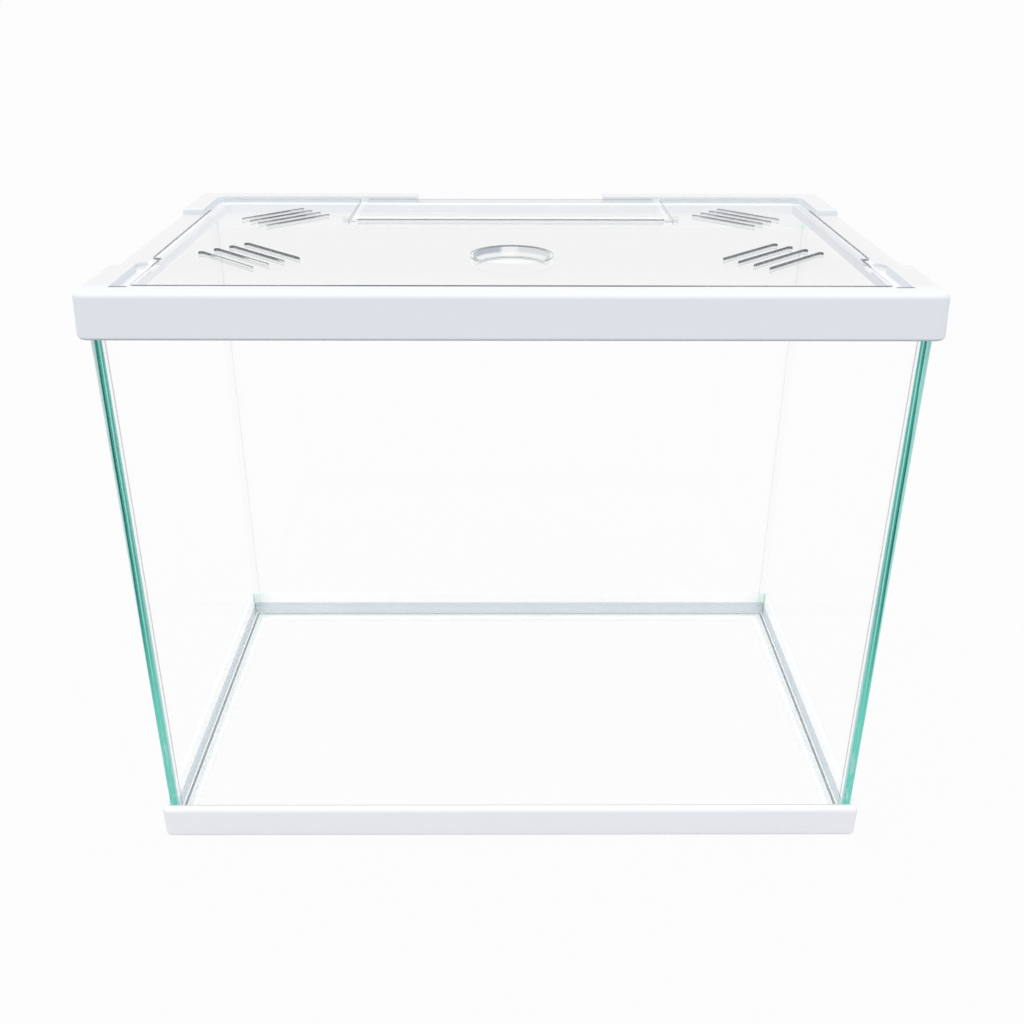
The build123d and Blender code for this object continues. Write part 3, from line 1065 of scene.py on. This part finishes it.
@dataclass
class EdgeBead:
    """The raised bead along the upper edge of the lid, which follows its outline round the waist and carries painted
    edge lines.

    Its front run is higher by front_rise, so that its painted dark line shows above the front bar of the rim.
    """

    half_width: float = 187.3
    half_depth: float = 110.9
    waist: float = 4.2
    waist_length: float = 56.0
    inset: float = 0.6
    radius: float = 0.5
    level: float = 326.45
    front_rise: float = 0.45
    bay_half: float = 97.7
    corner: float = 5.0
    waist_corner: float = 3.0
    arc_steps: int = 5

    def build(self, material: bpy.types.Material) -> bpy.types.Object:
        """Builds the bead as a thin round rod that is sunk into the plate.

        Args:
            material: The finish.

        Returns:
            The new piece.
        """
        wide, deep = self.half_width - self.inset, self.half_depth - self.inset
        narrow = wide - self.waist
        step_y = -self.half_depth + self.waist_length + self.inset
        corners = [
            (self.bay_half + self.inset, deep, 0.0),
            (wide, deep, self.waist_corner),
            (wide, step_y, self.waist_corner),
            (narrow, step_y, 0.0),
            (narrow, -deep, self.corner),
        ]
        path = [point for corner in self._rounded(corners) for point in corner]
        path += [(-x, y) for x, y in reversed(path)]
        curve = bpy.data.curves.new("lid_edge_bead", "CURVE")
        curve.dimensions = "3D"
        curve.bevel_depth = self.radius * MM
        curve.bevel_resolution = 3
        curve.use_fill_caps = True
        spline = curve.splines.new("POLY")
        spline.points.add(len(path) - 1)
        for point, (x, y) in zip(spline.points, path):
            # The rise starts and ends within the two front corners
            rise = self.front_rise * max(0.0, min(1.0, (self.corner - deep - y) / self.corner))
            point.co = (x * MM, y * MM, (self.level + rise) * MM, 1.0)
        holder = bpy.data.objects.new("lid_edge_path", curve)
        mesh = bmesh.new()
        mesh.from_mesh(bpy.data.meshes.new_from_object(holder))
        bpy.data.objects.remove(holder)
        bpy.data.curves.remove(curve)
        bmesh.ops.recalc_face_normals(mesh, faces=mesh.faces)
        for face in mesh.faces:
            face.smooth = True
        return place_piece(mesh, "lid_edge_bead", material, Body.LID, Slot.CLEAR_PLASTIC)

    def _rounded(self, corners: list[tuple[float, float, float]]) -> list[list[tuple[float, float]]]:
        """Rounds the corners of a path.

        Args:
            corners: Place and radius of each corner; a radius of 0 leaves it sharp.

        Returns:
            The points that stand for each corner.
        """
        rounded = []
        for number, (x, y, radius) in enumerate(corners):
            here = Vector((x, y))
            if radius == 0.0:
                rounded.append([(x, y)])
                continue
            before = (Vector(corners[number - 1][:2]) - here).normalized()
            if number + 1 < len(corners):
                after = (Vector(corners[number + 1][:2]) - here).normalized()
            else:
                # After the last corner the path crosses the front to the other half
                after = Vector((-1.0, 0.0))
            centre = here + (before + after) * radius
            start, end = here + before * radius - centre, here + after * radius - centre
            turn = start.angle_signed(end)
            points = []
            for step in range(self.arc_steps + 1):
                spoke = start.copy()
                spoke.rotate(Matrix.Rotation(-turn * step / self.arc_steps, 2))
                points.append(tuple(centre + spoke))
            rounded.append(points)
        return rounded


@dataclass
class Studio:
    """Floor, world, lamps and camera."""

    floor_size: float = 60.0
    paper: float = 0.982
    floor_colour: Colour = (0.62, 0.62, 0.63)
    shadow_colour: Colour = (0.80, 0.80, 0.80)
    shadow_share: float = 0.05
    ambient: float = 0.80
    ambient_colour: Colour = (0.925, 0.96, 1.0)
    overhead: float = 1.32
    overhead_colour: Colour = (1.0, 0.93, 0.85)
    overhead_spread: float = 75.0
    overhead_tilt: tuple[float, float] = (12.0, -4.0)
    camera_place: tuple[float, float, float] = (-2.93, -628.8, 464.0)
    pitch: float = 26.345
    yaw: float = -0.35
    roll: float = 0.172
    lens: float = 38.877
    sensor: float = 36.0

    def build(self) -> None:
        """Builds the whole studio."""
        self._floor()
        self._world()
        self._lamp()
        self._camera()

    def _background_rays(self, g: Graph) -> Signal:
        """Returns 1 for rays that should see the plain pale background.

        Args:
            g: The graph of the floor or of the world.

        Returns:
            1 for what the camera sees itself, in a mirror or through glass, and 0 for the light that falls on things.
        """
        rays = g.node("ShaderNodeLightPath", {}, {})
        camera, glossy = Signal(g, rays.outputs["Is Camera Ray"]), Signal(g, rays.outputs["Is Glossy Ray"])
        through = Signal(g, rays.outputs["Is Transmission Ray"])
        return camera.largest(glossy).largest(through)

    def _floor(self) -> None:
        """Lays the floor: white to the camera, with a faint shadow, and a plain pale grey to the lamps."""
        mesh = bmesh.new()
        bmesh.ops.create_grid(mesh, x_segments=1, y_segments=1, size=self.floor_size / 2)
        data = bpy.data.meshes.new("floor")
        mesh.to_mesh(data)
        mesh.free()
        material, g = new_material("studio_floor")
        soft = g.add("ShaderNodeBsdfDiffuse", {}, {"Color": (*self.floor_colour, 1.0)})
        bright = g.add("ShaderNodeBsdfDiffuse", {}, {"Color": (*self.shadow_colour, 1.0)})
        paper = g.add("ShaderNodeEmission", {}, {"Color": (*WHITE, 1.0), "Strength": self.paper})
        seen = g.add("ShaderNodeMixShader", {}, {0: self.shadow_share, 1: paper, 2: bright})
        mixed = g.add("ShaderNodeMixShader", {}, {0: self._background_rays(g), 1: soft, 2: seen})
        g.finish("ShaderNodeOutputMaterial", mixed)
        data.materials.append(material)
        floor = bpy.data.objects.new("floor", data)
        bpy.context.scene.collection.objects.link(floor)

    def _world(self) -> None:
        """Fills the room with even light, and shows it as plain white."""
        world = bpy.data.worlds.new("studio")
        world.use_nodes = True
        bpy.context.scene.world = world
        g = Graph(world.node_tree)
        colour = (*self.ambient_colour, 1.0)
        ambient = g.add("ShaderNodeBackground", {}, {"Color": colour, "Strength": self.ambient})
        paper = g.add("ShaderNodeBackground", {}, {"Color": (*WHITE, 1.0), "Strength": self.paper})
        mixed = g.add("ShaderNodeMixShader", {}, {0: self._background_rays(g), 1: ambient, 2: paper})
        g.finish("ShaderNodeOutputWorld", mixed)

    def _lamp(self) -> None:
        """Hangs the large soft lamp overhead."""
        data = bpy.data.lights.new("overhead", "SUN")
        data.energy = self.overhead
        data.color = self.overhead_colour
        data.angle = math.radians(self.overhead_spread)
        lamp = bpy.data.objects.new("overhead", data)
        forward, sideways = self.overhead_tilt
        lamp.rotation_euler = (math.radians(forward), math.radians(sideways), 0.0)
        bpy.context.scene.collection.objects.link(lamp)

    def _camera(self) -> None:
        """Sets up the camera at the photograph's angle."""
        data = bpy.data.cameras.new("camera")
        data.sensor_width = self.sensor
        data.lens = self.lens
        data.clip_start = 0.01
        data.clip_end = 200.0
        camera = bpy.data.objects.new("camera", data)
        turn = Matrix.Rotation(math.radians(self.yaw), 4, "Z")
        tilt = Matrix.Rotation(math.radians(90.0 - self.pitch), 4, "X")
        lean = Matrix.Rotation(math.radians(self.roll), 4, "Z")
        camera.matrix_world = Matrix.Translation(Vector(self.camera_place) * MM) @ turn @ tilt @ lean
        bpy.context.scene.collection.objects.link(camera)
        bpy.context.scene.camera = camera


def main() -> None:
    """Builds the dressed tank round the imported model."""
    logging.basicConfig(level=logging.INFO, format="%(message)s")
    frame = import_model()
    scene = bpy.context.scene
    scene.view_settings.view_transform = "Standard"
    scene.cycles.transparent_max_bounces = 32

    Studio().build()
    nodes = frame["nodes"]
    # The rim's level, recess and raised wall tones are painted shade and light
    rim_plastic = WhitePlastic(
        "white_rim_plastic",
        colour=(0.84, 0.872, 0.915),
        level=(0.78, 0.78, 0.79),
        recess=(0.93, 0.945, 0.975),
        edge_low=306.6,
        edge_high=305.7,
        edge_reach=9.0,
    ).material()
    base_white = (0.95, 0.955, 0.985)
    base_plastic = WhitePlastic(
        "white_base_plastic",
        colour=base_white,
        level=base_white,
        recess=base_white,
        edge_low=20.5,
        edge_high=21.0,
        edge_reach=0.9,
        # The base's inner wall glows with painted light
        skirt_glow=0.24,
    ).material()
    for node, name, plastic in (("top_frame", "top_rim", rim_plastic), ("base_frame", "base_rim", base_plastic)):
        Moulding(node, name, Body.TANK, Slot.WHITE_PLASTIC).build(nodes[node], plastic)

    box = GlassBox()
    box.dress_panes(nodes, FloatGlass().material())
    box.build_silicone(ClearSilicone().material())
    bond = BondSilicone().material()
    for name in ("top_frame_adhesive", "base_frame_adhesive"):
        dress(nodes[name], bond)

    clear = ClearPlastic().material()
    for node, name, body in (("lid", "lid_plate", Body.LID), ("rear_flap", "flap_plate", Body.FLAP)):
        plate = Moulding(node, name, body, Slot.CLEAR_PLASTIC, low_face=LEDGE_TOP, lift=0.05)
        plate.build(nodes[node], clear)
    EdgeBead().build(EdgeBeadPlastic().material())


if __name__ == "__main__":
    main()
